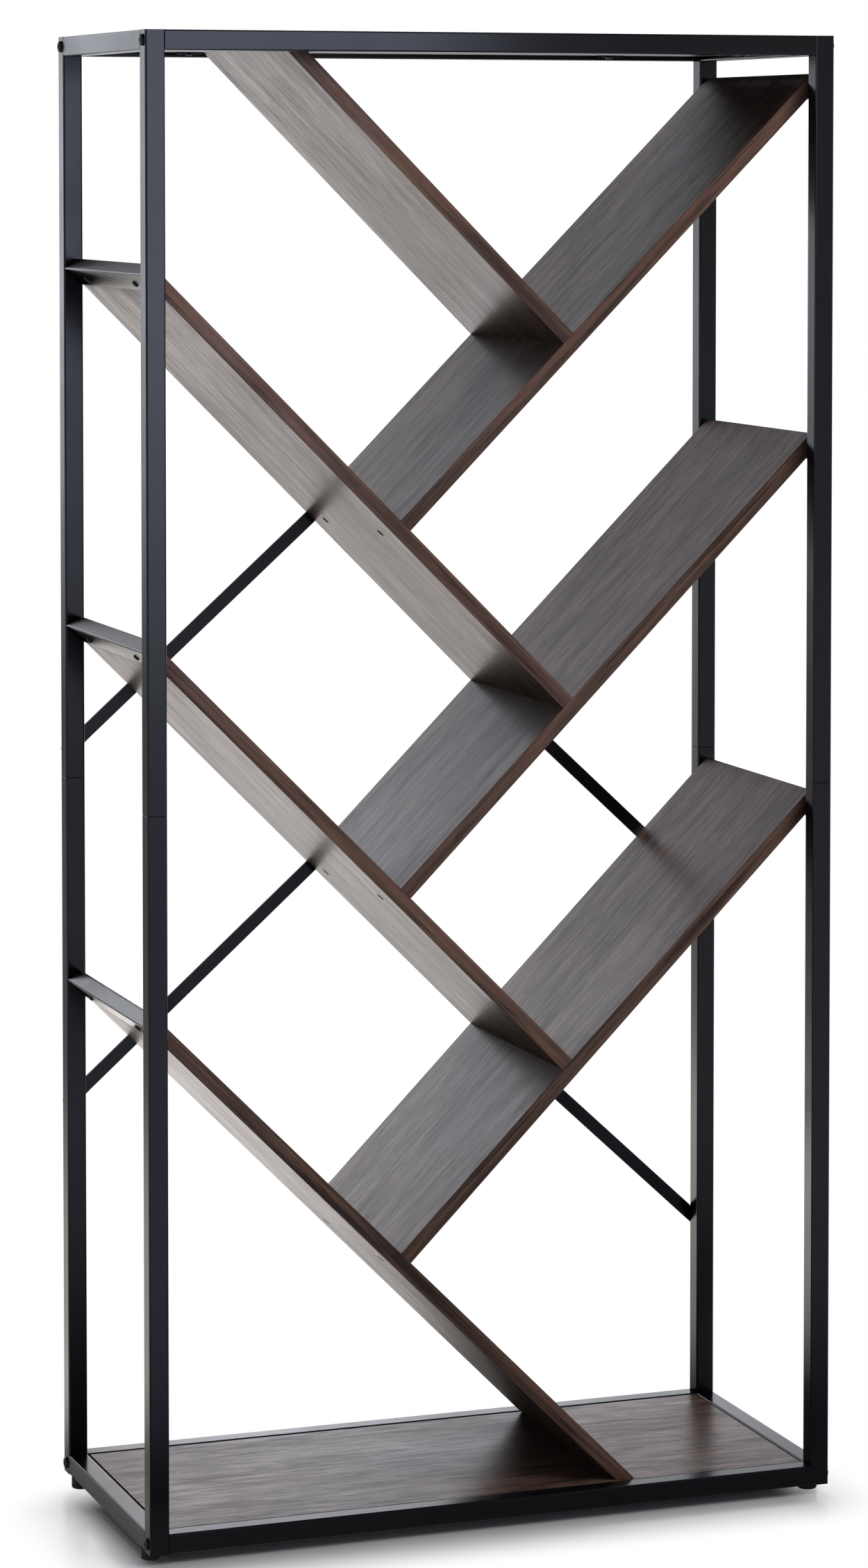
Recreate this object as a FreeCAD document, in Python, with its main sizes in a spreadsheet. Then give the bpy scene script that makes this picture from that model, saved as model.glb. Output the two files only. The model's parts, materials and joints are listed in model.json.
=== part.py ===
import FreeCAD, Part
import Sketcher
import os
import re

# A zigzag bookshelf in millimetres: X to the right, Y to the rear, Z up from the floor.
# A frame of square tube holds a zigzag of boards, each square to the next and at 45 degrees to
# the floor. "Down" boards fall to the right (lean 1), "up" boards fall to the left (lean -1).

SIZES = {
    # whole unit
    "unit_width": 800,
    "unit_depth": 350,
    "unit_height": 1650,
    # frame tube, and the play of what is pushed into it
    "tube_size": 22,
    "tube_wall": 1.2,
    "tube_corner": 2,
    "tube_play": 0.1,
    "cap_depth": 5,
    # seam in the posts
    "post_lower_length": 800,
    "sleeve_length": 50,
    "sleeve_wall": 1.5,
    "seam_chamfer": 0.4,
    # boards
    "board_thick": 16,
    "shelf_clear": 5.5,
    "edge_band": 1,
    "board_recess": 0.6,
    "board_gap": 2.3,
    # zigzag: drop of the first bracket's bend, rise of the last one's, and the unevenness of the steps
    "bracket_drop": 53,
    "last_bracket_rise": 581.5,
    "zig_offset": 5.5,
    # folded brackets
    "bracket_plate": 2,
    "bracket_end_leg": 15.5,
    "bracket_seat_leg": 25,
    "bracket_bend": 1.8,
    "bracket_gap": 0.3,
    "bracket_screw_inset": 16,
    # bracing strips
    "brace_width": 15,
    "brace_thick": 2,
    "brace_drop": 264,
    "brace_post_end": 9,
    "brace_post_tab": 24,
    "brace_board_tab": 12,
    "brace_board_end": 8,
    "brace_round": 3,
    # tabs that carry the flat boards
    "tab_width": 30,
    "tab_depth": 20,
    "tab_thick": 2,
    "tab_clear": 4.4,
    "tab_screw_inset": 12,
    # corner bolts and the threaded blocks that take them
    "bolt_radius": 3,
    "bolt_head_radius": 6.5,
    "bolt_head_height": 3,
    "bolt_key": 4,
    "bolt_tip": 2,
    "block_length": 10,
    # screws
    "head_chamfer": 1,
    "tip_chamfer": 0.8,
    "screw_radius": 2,
    "screw_head_radius": 4,
    "screw_head_height": 1.8,
    "screw_cross": 4.4,
    "screw_cross_slot": 1,
    "recess_depth": 1.1,
    "bracket_screw_length": 14,
    "brace_screw_length": 11,
    "tab_screw_length": 12,
    "sunk_radius": 2.25,
    "sunk_head_radius": 5,
    "sunk_depth": 1.5,
    "joint_screw_length": 50,
    "end_screw_length": 25,
    "end_screw_inset": 3,
    "pair_inset": 52.5,
    "thread_gap": 0.05,
    "drill_over": 0.5,
    # levelling feet
    "foot_height": 12,
    "foot_radius": 11,
    "foot_gap": 0.3,
    "foot_edge": 1,
    "foot_inset": 12,
    "foot_sole": 4,
    "foot_play": 0.1,
    "stud_radius": 4,
    "stud_flange_radius": 6.5,
    "stud_flange_height": 3,
    "stud_reach": 18,
    "stud_hole_gap": 0.5,
    "foot_nut_flats": 13,
    "foot_nut_height": 6.5,
}

BOARDS = [("down", number) for number in range(1, 5)] + [("up", number) for number in range(1, 4)]
# every board but the first has a bracket at its upper end and carries the board above it
CARRYING = [board for board in BOARDS if board != ("down", 1)]
BRACED = [("down", 2), ("down", 3), ("up", 2), ("up", 3)]

# Places and lengths that follow from the sizes
POST_X = "(unit_width - tube_size) / 2"
POST_Y = "(unit_depth - tube_size) / 2"
RAIL_END_X = "(unit_width / 2 - tube_size)"
RAIL_END_Y = "(unit_depth / 2 - tube_size)"
SEAM_Z = "(foot_height + post_lower_length)"
BASE_RAIL_Z = "(foot_height + tube_size / 2)"
TOP_RAIL_Z = "(unit_height - tube_size / 2)"
BASE_BOARD_Z = "(foot_height + tube_size - board_recess - board_thick)"
TOP_BOARD_Z = "(unit_height - board_recess - board_thick)"
TUBE_BORE = "(tube_size - 2 * tube_wall)"
INSERT_SIDE = "(tube_size - 2 * tube_wall - 2 * tube_play)"
FIRST_UP_LINE = ("(unit_height - bracket_drop - unit_width / 2"
                 " + (board_thick + bracket_plate) * sqrt(2))")
SHELF_DEPTH = "(unit_depth - 2 * tube_size - 2 * shelf_clear)"
ZIGZAG_DROP = "(unit_height - bracket_drop - last_bracket_rise - zig_offset)"
PITCH = f"({ZIGZAG_DROP} * 2 / {len(CARRYING) - 1})"
STEP_ONTO_UP = f"({PITCH} / 2 - zig_offset)"
STEP_ONTO_DOWN = f"({PITCH} / 2 + zig_offset)"
BEND_ALONG = "(board_thick + bracket_plate - unit_width / sqrt(2))"
BOARD_START = f"({BEND_ALONG} + bracket_plate + bracket_gap)"

AXIS_X = FreeCAD.Vector(1, 0, 0)
AXIS_Y = FreeCAD.Vector(0, 1, 0)
FACING = {
    "+x": FreeCAD.Rotation(AXIS_Y, 90),
    "-x": FreeCAD.Rotation(AXIS_Y, -90),
    "+y": FreeCAD.Rotation(AXIS_X, -90),
    "+z": FreeCAD.Rotation(),
    "-z": FreeCAD.Rotation(AXIS_X, 180),
}
SIDES = {"left": -1, "right": 1}
ENDS = {"front": -1, "rear": 1}

doc = FreeCAD.newDocument("zigzag_bookshelf")
sheet = doc.addObject("Spreadsheet::Sheet", "sizes")
for row, (alias, size) in enumerate(SIZES.items(), 1):
    sheet.set(f"A{row}", str(size))
    sheet.setAlias(f"A{row}", alias)
doc.recompute()

nodes = []


# Basic helpers

def named(expression):
    return re.sub(r"[a-z]\w*", lambda word: f"sizes.{word[0]}" if word[0] in SIZES else word[0], expression)


def value(expression):
    return float(sheet.evalExpression(named(expression)))


def bind(item, **expressions):
    for prop, expression in expressions.items():
        item.setExpression(prop, named(expression))


def place(item, x="0", y="0", z="0", rotation=FACING["+z"]):
    item.Placement = FreeCAD.Placement(FreeCAD.Vector(), rotation)
    for axis, expression in zip("xyz", (x, y, z)):
        item.setExpression(f"Placement.Base.{axis}", named(expression))
    return item


def compound(name, items):
    group = doc.addObject("Part::Compound", name)
    group.Links = items
    return group


def node(name, item):
    item.Label = name
    nodes.append(item)
    return item


def drilled(name, blank, drills):
    cut = doc.addObject("Part::Cut", name)
    cut.Base = blank
    cut.Tool = compound(f"{name}_drills", drills)
    return node(name, cut)


def block(name, length, width, height, x, y, z):
    box = doc.addObject("Part::Box", name)
    bind(box, Length=length, Width=width, Height=height)
    return place(box, f"{x} - ({length}) / 2", f"{y} - ({width}) / 2", z)


# Sketches and solids

def outline(sketch, points):
    first = sketch.GeometryCount
    count = len(points)
    corners = [FreeCAD.Vector(value(x), value(y), 0) for x, y in points]
    for index in range(count):
        sketch.addGeometry(Part.LineSegment(corners[index], corners[(index + 1) % count]))
    for index, corner in enumerate(corners):
        line = first + index
        following = first + (index + 1) % count
        sketch.addConstraint(Sketcher.Constraint("Coincident", line, 2, following, 1))
        for kind, at, expression in zip(("DistanceX", "DistanceY"), corner, points[index]):
            rule = sketch.addConstraint(Sketcher.Constraint(kind, -1, 1, line, 1, at))
            sketch.setExpression(f"Constraints[{rule}]", named(expression))


def new_sketch(body, name, role):
    sketch = body.newObject("Sketcher::SketchObject", name)
    plane = [item for item in body.Origin.OriginFeatures if item.Role == role]
    sketch.AttachmentSupport = (plane[0], [""])
    sketch.MapMode = "FlatFace"
    return sketch


def extruded(name, role, outlines, length, side="One side"):
    body = doc.addObject("PartDesign::Body", name)
    sketch = new_sketch(body, f"{name}_profile", role)
    for points in outlines:
        outline(sketch, points)
    pad = body.newObject("PartDesign::Pad", f"{name}_pad")
    pad.Profile = sketch
    pad.SideType = side
    bind(pad, Length=length)
    doc.recompute()
    return body


def turned(name, points):
    body = doc.addObject("PartDesign::Body", name)
    sketch = new_sketch(body, f"{name}_profile", "XZ_Plane")
    outline(sketch, points)
    turn = body.newObject("PartDesign::Revolution", f"{name}_turn")
    turn.Profile = sketch
    turn.ReferenceAxis = (sketch, ["V_Axis"])
    turn.Angle = 360
    doc.recompute()
    return body


def pocketed(body, points, height, depth):
    sketch = new_sketch(body, f"{body.Name}_recess_outline", "XY_Plane")
    sketch.setExpression("AttachmentOffset.Base.z", named(height))
    outline(sketch, points)
    before = body.Shape.Volume
    pocket = body.newObject("PartDesign::Pocket", f"{body.Name}_recess")
    pocket.Profile = sketch
    bind(pocket, Length=depth)
    doc.recompute()
    if body.Shape.Volume >= before:
        raise RuntimeError(f"{body.Name}: the recess cuts nothing")
    return body


def edge_cut(body, kind, picked, **size):
    base = body.Tip
    edges = [f"Edge{index}" for index, edge in enumerate(base.Shape.Edges, 1) if picked(edge)]
    cut = body.newObject(f"PartDesign::{kind}", f"{body.Name}_{kind.lower()}")
    cut.Base = (base, edges)
    bind(cut, **size)
    doc.recompute()
    return body


def rounded(body, radius, picked):
    return edge_cut(body, "Fillet", picked, Radius=radius)


def square(side):
    half = f"({side}) / 2"
    return [(f"-{half}", f"-{half}"), (half, f"-{half}"), (half, half), (f"-{half}", half)]


def tube(name, length):
    body = extruded(name, "XY_Plane", [square("tube_size"), square(TUBE_BORE)], length)
    half = value("tube_size / 2")

    def outer_corner(edge):
        middle = edge.BoundBox.Center
        return min(abs(middle.x), abs(middle.y)) > half - 1e-6

    return rounded(body, "tube_corner", outer_corner)


def seam_end(body, height):
    bore = value(f"{TUBE_BORE} / 2")
    at = value(height)

    def outer_rim(edge):
        box = edge.BoundBox
        level = box.ZLength < 1e-6 and abs(box.ZMin - at) < 1e-6
        return level and max(box.XMax, -box.XMin, box.YMax, -box.YMin) > bore + 1e-3

    return edge_cut(body, "Chamfer", outer_rim, Size="seam_chamfer")


# Fasteners: a pan head sits on z = 0, a sunk head lies below it, and both point along +Z

def cross_recess():
    arm = "screw_cross / 2"
    slot = "screw_cross_slot / 2"
    quarter = [(arm, f"-{slot}"), (arm, slot), (slot, slot)]
    points = []
    for across, up in (("{0}", "{1}"), ("-({1})", "{0}"), ("-({0})", "-({1})"), ("{1}", "-({0})")):
        points += [(across.format(x, y), up.format(x, y)) for x, y in quarter]
    return points


def hex_outline(flats):
    corner = f"({flats}) / 2 / cos(30)"
    return [(f"{corner} * cos({60 * step})", f"{corner} * sin({60 * step})") for step in range(6)]


def pan_fastener(name, radius, head_radius, head_height, length, recess):
    crown = f"{head_radius} - head_chamfer"
    shoulder = f"{head_height} - head_chamfer"
    body = turned(name, [
        ("0", f"-({length})"), (f"{radius} - tip_chamfer", f"-({length})"),
        (radius, f"-({length}) + tip_chamfer"), (radius, "0"), (head_radius, "0"), (head_radius, shoulder),
        (crown, head_height), ("0", head_height)])
    return pocketed(body, recess, head_height, "recess_depth")


def sunk_fastener(name, length):
    cone = "sunk_head_radius - sunk_radius"
    tip = f"-sunk_depth - {length}"
    body = turned(name, [
        ("0", tip), ("sunk_radius", f"{tip} + sunk_radius"), ("sunk_radius", f"-sunk_depth - ({cone})"),
        ("sunk_head_radius", "-sunk_depth"), ("0", "-sunk_depth")])
    return pocketed(body, cross_recess(), "-sunk_depth", "recess_depth")


def straight_drill(name, radius, length):
    wide = f"{radius} + thread_gap"
    return turned(name, [
        ("0", f"-({length}) - drill_over"), (wide, f"-({length}) - drill_over"), (wide, "drill_over"),
        ("0", "drill_over")])


def sunk_drill(name, length):
    wide = "sunk_radius + thread_gap"
    mouth = "sunk_head_radius + thread_gap"
    bottom = f"-sunk_depth - {length} - drill_over"
    return turned(name, [
        ("0", bottom), (wide, bottom), (wide, f"{wide} - ({mouth}) - sunk_depth"), (mouth, "-sunk_depth"),
        (mouth, "drill_over"), ("0", "drill_over")])


def linked(name, master, at):
    link = doc.addObject("App::Link", name)
    link.LinkedObject = master
    return place(link, *at)


def fasteners(name, master, drill, places):
    node(name, compound(name, [linked(f"{name}_{key}", master, at) for key, at in places.items()]))
    return {key: linked(f"{name}_{key}_drill", drill, at) for key, at in places.items()}


def chosen(drills, *starts):
    return [drill for key, drill in drills.items() if key.startswith(starts)]


# Zigzag: along runs down a board from the middle of the unit, above is square to its top face

def line_of(kind, number):
    lift = "0" if kind == "up" else STEP_ONTO_UP
    return f"({FIRST_UP_LINE} + {lift} - {number - 1} * {PITCH})"


def lean_of(kind):
    return 1 if kind == "down" else -1


def slope(kind, flip=0):
    return FreeCAD.Rotation(AXIS_Y, 45 * lean_of(kind) + flip)


def on_board(kind, number, along, above):
    x = f"{lean_of(kind)} * ({along} + ({above})) / sqrt(2)"
    z = f"{line_of(kind, number)} + (({above}) - ({along})) / sqrt(2)"
    return x, z


def step_onto(kind):
    return STEP_ONTO_UP if kind == "up" else STEP_ONTO_DOWN


def meeting(kind):
    return f"(board_thick / 2 - {step_onto(kind)} / sqrt(2))"


def pair(places, key, x, z, rotation):
    for side, sign in ENDS.items():
        places[f"{key}_{side}"] = (x, f"{sign} * ({SHELF_DEPTH} / 2 - pair_inset)", z, rotation)


def bracket_side(kind):
    return "left" if kind == "down" else "right"


def bracket_number(kind, number):
    return number - 1 if kind == "down" else number


def brace_run(kind):
    return f"({POST_X} - {step_onto(kind)} / 2)"


def brace_post(kind, number):
    x = f"{-lean_of(kind)} * {POST_X}"
    z = f"{line_of(kind, number)} + {step_onto(kind)} / 2 - board_thick / sqrt(2) - brace_drop"
    return x, z


# Corner bolts, through the posts into the long rails

bolt = pan_fastener(
    "corner_bolt", "bolt_radius", "bolt_head_radius", "bolt_head_height",
    "tube_size + block_length + bolt_tip", hex_outline("bolt_key"))
bolt_drill = straight_drill("corner_bolt_drill", "bolt_radius", "tube_size + block_length + bolt_tip")
bolt_places = {}
for level, height in (("base", BASE_RAIL_Z), ("top", TOP_RAIL_Z)):
    for end, rear in ENDS.items():
        for side, right in SIDES.items():
            facing = FACING["+x" if right > 0 else "-x"]
            at = (f"{right} * unit_width / 2", f"{rear} * {POST_Y}", height, facing)
            bolt_places[f"{end}_{side}_{level}"] = at
bolt_drills = fasteners("corner_bolts", bolt, bolt_drill, bolt_places)

blocks = []
for key in bolt_places:
    end, side, level = key.split("_")
    height = BASE_RAIL_Z if level == "base" else TOP_RAIL_Z
    middle = f"{SIDES[side]} * ({RAIL_END_X} - block_length / 2)"
    blocks.append(block(
        f"rail_block_{key}", "block_length", INSERT_SIDE, INSERT_SIDE,
        middle, f"{ENDS[end]} * {POST_Y}", f"{height} - {INSERT_SIDE} / 2"))
drilled("rail_end_blocks", compound("rail_end_blanks", blocks), list(bolt_drills.values()))

# Bracing strip screws, into a rear post and into a board's rear edge

brace_screw = pan_fastener(
    "brace_screw", "screw_radius", "screw_head_radius", "screw_head_height",
    "brace_screw_length", cross_recess())
brace_drill = straight_drill("brace_screw_drill", "screw_radius", "brace_screw_length")
brace_places = {}
for kind, number in BRACED:
    post_x, post_z = brace_post(kind, number)
    board_x, board_z = on_board(kind, number, meeting(kind), "-board_thick / 2")
    brace_places[f"{kind}_{number}_post"] = (post_x, "unit_depth / 2 + brace_thick", post_z, FACING["+y"])
    brace_places[f"{kind}_{number}_board"] = (
        board_x, f"{SHELF_DEPTH} / 2 + brace_thick", board_z, FACING["+y"])
brace_drills = fasteners("brace_screws", brace_screw, brace_drill, brace_places)

# Frame posts, sleeves and caps

sleeves = []
caps = {"lower": [], "upper": []}
for end, rear in ENDS.items():
    for side, right in SIDES.items():
        x = f"{right} * {POST_X}"
        y = f"{rear} * {POST_Y}"
        corner = f"{end}_{side}"
        kind = "down" if side == "left" else "up"
        in_rear = [brace_drills[f"{braced}_{number}_post"] for braced, number in BRACED
                   if end == "rear" and braced == kind]
        lower = seam_end(tube(f"{corner}_lower_tube", "post_lower_length"), "post_lower_length")
        place(lower, x, y, "foot_height")
        drilled(f"{corner}_lower_post", lower, chosen(bolt_drills, f"{corner}_base") + in_rear)
        upper_length = f"unit_height - {SEAM_Z}"
        upper = place(seam_end(tube(f"{corner}_upper_tube", upper_length), "0"), x, y, SEAM_Z)
        drilled(f"{corner}_upper_post", upper, chosen(bolt_drills, f"{corner}_top") + in_rear)
        sleeve = extruded(
            f"{corner}_sleeve", "XY_Plane",
            [square(INSERT_SIDE), square(f"{INSERT_SIDE} - 2 * sleeve_wall")], "sleeve_length")
        sleeves.append(place(sleeve, x, y, f"{SEAM_Z} - sleeve_length / 2"))
        for level, z in (("lower", "foot_height"), ("upper", "unit_height - cap_depth")):
            caps[level].append(block(f"{corner}_{level}_cap", INSERT_SIDE, INSERT_SIDE, "cap_depth", x, y, z))
drilled("splice_sleeves", compound("splice_sleeve_blanks", sleeves),
        [drill for key, drill in brace_drills.items() if key.endswith("post")])
for level, plugs in caps.items():
    node(f"{level}_post_caps", compound(f"{level}_post_caps", plugs))

# Levelling feet and the nuts inside the side rails

foot_y = f"({RAIL_END_Y} - foot_inset)"
socket_top = "foot_sole + stud_flange_height + 2 * foot_play"
foot_profile = [
    ("0", "0"), ("foot_radius - foot_edge", "0"), ("foot_radius", "foot_edge"),
    ("foot_radius", "foot_height - foot_gap"), ("stud_radius + foot_play", "foot_height - foot_gap"),
    ("stud_radius + foot_play", socket_top), ("stud_flange_radius + foot_play", socket_top),
    ("stud_flange_radius + foot_play", "foot_sole"), ("0", "foot_sole")]
flange_top = "foot_sole + foot_play + stud_flange_height"
stud_profile = [
    ("0", "foot_sole + foot_play"), ("stud_flange_radius", "foot_sole + foot_play"),
    ("stud_flange_radius", flange_top), ("stud_radius", flange_top),
    ("stud_radius", "foot_height + stud_reach"), ("0", "foot_height + stud_reach")]

nut_blank = extruded("foot_nut_blank", "XY_Plane", [hex_outline("foot_nut_flats")], "foot_nut_height")
nut_bore = doc.addObject("Part::Cylinder", "foot_nut_bore")
bind(nut_bore, Radius="stud_radius + thread_gap", Height="foot_nut_height")
foot_nut = doc.addObject("Part::Cut", "foot_nut")
foot_nut.Base = nut_blank
foot_nut.Tool = nut_bore

rail_hole = doc.addObject("Part::Cylinder", "rail_hole")
bind(rail_hole, Radius="stud_radius + stud_hole_gap", Height="2 * tube_wall")
nuts = []
rail_holes = {"left": [], "right": []}
for end, rear in ENDS.items():
    for side, right in SIDES.items():
        corner = f"{end}_{side}"
        x = f"{right} * {POST_X}"
        y = f"{rear} * {foot_y}"
        node(f"{corner}_foot", place(turned(f"{corner}_foot", foot_profile), x, y))
        node(f"{corner}_foot_stud", place(turned(f"{corner}_foot_stud", stud_profile), x, y))
        nuts.append(linked(f"{corner}_foot_nut", foot_nut, (x, y, "foot_height + tube_wall")))
        rail_holes[side].append(
            linked(f"{corner}_rail_hole", rail_hole, (x, y, "foot_height - tube_wall / 2")))
node("foot_nuts", compound("foot_nuts", nuts))

# Side rails and long rails

for level, height in (("base", BASE_RAIL_Z), ("top", TOP_RAIL_Z)):
    for side, right in SIDES.items():
        name = f"{side}_{level}_rail"
        rail = place(tube(f"{name}_tube", f"2 * {RAIL_END_Y}"),
                     f"{right} * {POST_X}", f"-{RAIL_END_Y}", height, FACING["+y"])
        if level == "base":
            drilled(name, rail, rail_holes[side])
        else:
            node(name, rail)
    for end, rear in ENDS.items():
        name = f"{end}_{level}_rail"
        rail = tube(f"{name}_tube", f"2 * {RAIL_END_X}")
        node(name, place(rail, f"-{RAIL_END_X}", f"{rear} * {POST_Y}", height, FACING["+x"]))

# Tabs under the base board and the top board, with their screws from below

tab_screw = pan_fastener(
    "tab_screw", "screw_radius", "screw_head_radius", "screw_head_height", "tab_screw_length", cross_recess())
tab_drill = straight_drill("tab_screw_drill", "screw_radius", "tab_screw_length")
# the tabs under the top board clear the upper end of the first board, and the base repeats them
left_tab_x = (f"({line_of('down', 1)} - {TOP_BOARD_Z} - board_thick * sqrt(2)"
              " - tab_clear - tab_width / 2)")
tab_blanks = {"base": [], "top": []}
tab_places = {}
for level, underside in (("base", BASE_BOARD_Z), ("top", TOP_BOARD_Z)):
    tab_z = f"{underside} - tab_thick"
    for side, right in SIDES.items():
        for end, rear in ENDS.items():
            x = f"{-right} * {left_tab_x}"
            tab_blanks[level].append(block(
                f"{level}_tab_{end}_{side}", "tab_width", "tab_depth", "tab_thick",
                x, f"{rear} * ({RAIL_END_Y} - tab_depth / 2)", tab_z))
            tab_places[f"{level}_{end}_{side}"] = (
                x, f"{rear} * ({RAIL_END_Y} - tab_screw_inset)", tab_z, FACING["-z"])
        tab_blanks[level].append(block(
            f"{level}_tab_{side}", "tab_depth", "tab_width", "tab_thick",
            f"{right} * ({RAIL_END_X} - tab_depth / 2)", "0", tab_z))
        tab_places[f"{level}_{side}"] = (
            f"{right} * ({RAIL_END_X} - tab_screw_inset)", "0", tab_z, FACING["-z"])
tab_drills = fasteners("tab_screws", tab_screw, tab_drill, tab_places)
for level, blanks in tab_blanks.items():
    drilled(f"{level}_board_tabs", compound(f"{level}_tab_blanks", blanks), chosen(tab_drills, level))

# Screws of the zigzag: under the brackets, and from board to board

bracket_screw = pan_fastener(
    "bracket_screw", "screw_radius", "screw_head_radius", "screw_head_height",
    "bracket_screw_length", cross_recess())
bracket_drill = straight_drill("bracket_screw_drill", "screw_radius", "bracket_screw_length")
bracket_places = {}
for kind, number in CARRYING:
    x, z = on_board(kind, number, f"{BEND_ALONG} + bracket_screw_inset", "-board_thick - bracket_plate")
    pair(bracket_places, f"{kind}_{number}", x, z, slope(kind, 180))
bracket_drills = fasteners("bracket_screws", bracket_screw, bracket_drill, bracket_places)

joint_screw = sunk_fastener("joint_screw", "joint_screw_length")
joint_drill = sunk_drill("joint_screw_drill", "joint_screw_length")
joint_places = {}
for kind, number in CARRYING:
    x, z = on_board(kind, number, meeting(kind), "-board_thick")
    pair(joint_places, f"{kind}_{number}", x, z, slope(kind, 180))
joint_drills = fasteners("joint_screws", joint_screw, joint_drill, joint_places)

end_screw = sunk_fastener("end_screw", "end_screw_length")
end_drill = sunk_drill("end_screw_drill", "end_screw_length")
top_end_x = f"{line_of('down', 1)} - {TOP_BOARD_Z} - end_screw_inset * sqrt(2)"
base_end_x = (f"{line_of('down', 4)} - ({BASE_BOARD_Z} + board_thick)"
              " - (board_thick - end_screw_inset) * sqrt(2)")
end_places = {}
pair(end_places, "top", top_end_x, f"{TOP_BOARD_Z} + board_thick", FACING["+z"])
pair(end_places, "base", base_end_x, BASE_BOARD_Z, FACING["-z"])
end_drills = fasteners("end_screws", end_screw, end_drill, end_places)

# Flat boards

for level, underside in (("base", BASE_BOARD_Z), ("top", TOP_BOARD_Z)):
    blank = block(
        f"{level}_board_blank", f"2 * ({RAIL_END_X} - board_gap)", f"2 * ({RAIL_END_Y} - board_gap)",
        "board_thick", "0", "0", underside)
    drilled(f"{level}_board", blank, chosen(tab_drills, level) + chosen(end_drills, level))

# Sloping boards with a band along each long edge


def board_ends(kind, number, above):
    line = line_of(kind, number)
    upper = BOARD_START
    lower = f"{step_onto('up' if kind == 'down' else 'down')} / sqrt(2)"
    if (kind, number) == ("down", 1):
        upper = f"{above} - ({TOP_BOARD_Z} - {line}) * sqrt(2)"
    if (kind, number) == ("down", 4):
        lower = f"{above} + ({line} - ({BASE_BOARD_Z} + board_thick)) * sqrt(2)"
    return upper, lower


def board_profile(kind, number):
    points = []
    for above in ("0", "-board_thick"):
        upper, lower = board_ends(kind, number, above)
        ends = (upper, lower) if above == "0" else (lower, upper)
        points += [(f"{lean_of(kind)} * ({along})", above) for along in ends]
    return points


def board_layer(name, kind, number, rear_face, depth):
    layer = extruded(name, "XZ_Plane", [board_profile(kind, number)], depth)
    return place(layer, "0", rear_face, line_of(kind, number), slope(kind))


def resting_on(kind, number):
    if (kind, number) == ("down", 4):
        return chosen(end_drills, "base")
    if kind == "down":
        return chosen(joint_drills, f"up_{number}")
    return chosen(joint_drills, f"down_{number + 1}")


bands = {"front": [], "rear": []}
for kind, number in BOARDS:
    name = f"{kind}_board_{number}"
    key = f"{kind}_{number}"
    core = board_layer(f"{name}_core", kind, number,
                       f"{SHELF_DEPTH} / 2 - edge_band", f"{SHELF_DEPTH} - 2 * edge_band")
    drills = chosen(bracket_drills, key) + chosen(joint_drills, key) + resting_on(kind, number)
    drills += chosen(brace_drills, f"{key}_board")
    if key == "down_1":
        drills += chosen(end_drills, "top")
    drilled(name, core, drills)
    for end, rear_face in (("front", f"edge_band - {SHELF_DEPTH} / 2"), ("rear", f"{SHELF_DEPTH} / 2")):
        bands[end].append(board_layer(f"{name}_{end}_band", kind, number, rear_face, "edge_band"))
node("front_edge_bands", compound("front_edge_bands", bands["front"]))
drilled("rear_edge_bands", compound("rear_band_blanks", bands["rear"]),
        [drill for key, drill in brace_drills.items() if key.endswith("board")])

# Folded brackets, welded between a front and a rear post

for kind, number in CARRYING:
    name = f"{bracket_side(kind)}_bracket_{bracket_number(kind, number)}"
    lean = lean_of(kind)
    fold = [("0", "0"), ("bracket_seat_leg", "0"), ("bracket_seat_leg", "bracket_plate"),
            ("bracket_plate", "bracket_plate"), ("bracket_plate", "bracket_end_leg"),
            ("0", "bracket_end_leg")]
    leaning = [(f"{lean} * {x}", z) for x, z in fold]
    angle = extruded(f"{name}_fold", "XZ_Plane", [leaning], f"2 * {RAIL_END_Y}")

    def bend(edge):
        middle = edge.BoundBox.Center
        return max(abs(middle.x), abs(middle.z)) < 1e-6

    rounded(angle, "bracket_bend", bend)
    x, z = on_board(kind, number, BEND_ALONG, "-board_thick - bracket_plate")
    drilled(name, place(angle, x, RAIL_END_Y, z, slope(kind)), chosen(bracket_drills, f"{kind}_{number}"))

# Bracing strips: a tab flat on the rear post, a slanting run, and a tab flat on the board's edge

for index, (kind, number) in enumerate(BRACED):
    name = f"{bracket_side(kind)}_brace_{index % 2 + 1}"
    run = brace_run(kind)
    reach = f"sqrt({run} * {run} + brace_drop * brace_drop)"
    inward = "(tube_size + shelf_clear)"
    front = [("-brace_post_end", "0"), ("brace_post_tab", "0"),
             (f"{reach} - brace_board_tab", f"-{inward}"), (f"{reach} + brace_board_end", f"-{inward}")]
    back = [(x, f"{y} + brace_thick") for x, y in reversed(front)]
    strip = extruded(f"{name}_strip", "XY_Plane", [front + back], "brace_width", "Symmetric")
    box = strip.Tip.Shape.BoundBox

    def end_corner(edge):
        middle = edge.BoundBox.Center
        at_end = min(abs(middle.x - box.XMin), abs(middle.x - box.XMax)) < 1e-6
        return at_end and edge.BoundBox.ZLength < 1e-6

    rounded(strip, "brace_round", end_corner)
    post_x, post_z = brace_post(kind, number)
    place(strip, post_x, "unit_depth / 2", post_z, FreeCAD.Rotation(-AXIS_Y, 45))
    rise = f"atan(brace_drop / {run})"
    strip.setExpression("Placement.Rotation.Angle", named(rise if kind == "down" else f"180 deg - {rise}"))
    drilled(name, strip, chosen(brace_drills, f"{kind}_{number}"))

# Checks before writing

doc.recompute()
for item in doc.Objects:
    if {"Invalid", "Error"} & set(item.State):
        raise RuntimeError(f"{item.Name}: {item.State}")
for item in nodes:
    if item.Shape.isNull() or not item.Shape.isValid():
        raise RuntimeError(f"{item.Label}: its shape is not valid")

os.makedirs("parts", exist_ok=True)
for item in nodes:
    item.Shape.exportStep(f"parts/{item.Label}.step")
print(f"{len(nodes)} parts written")
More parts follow.
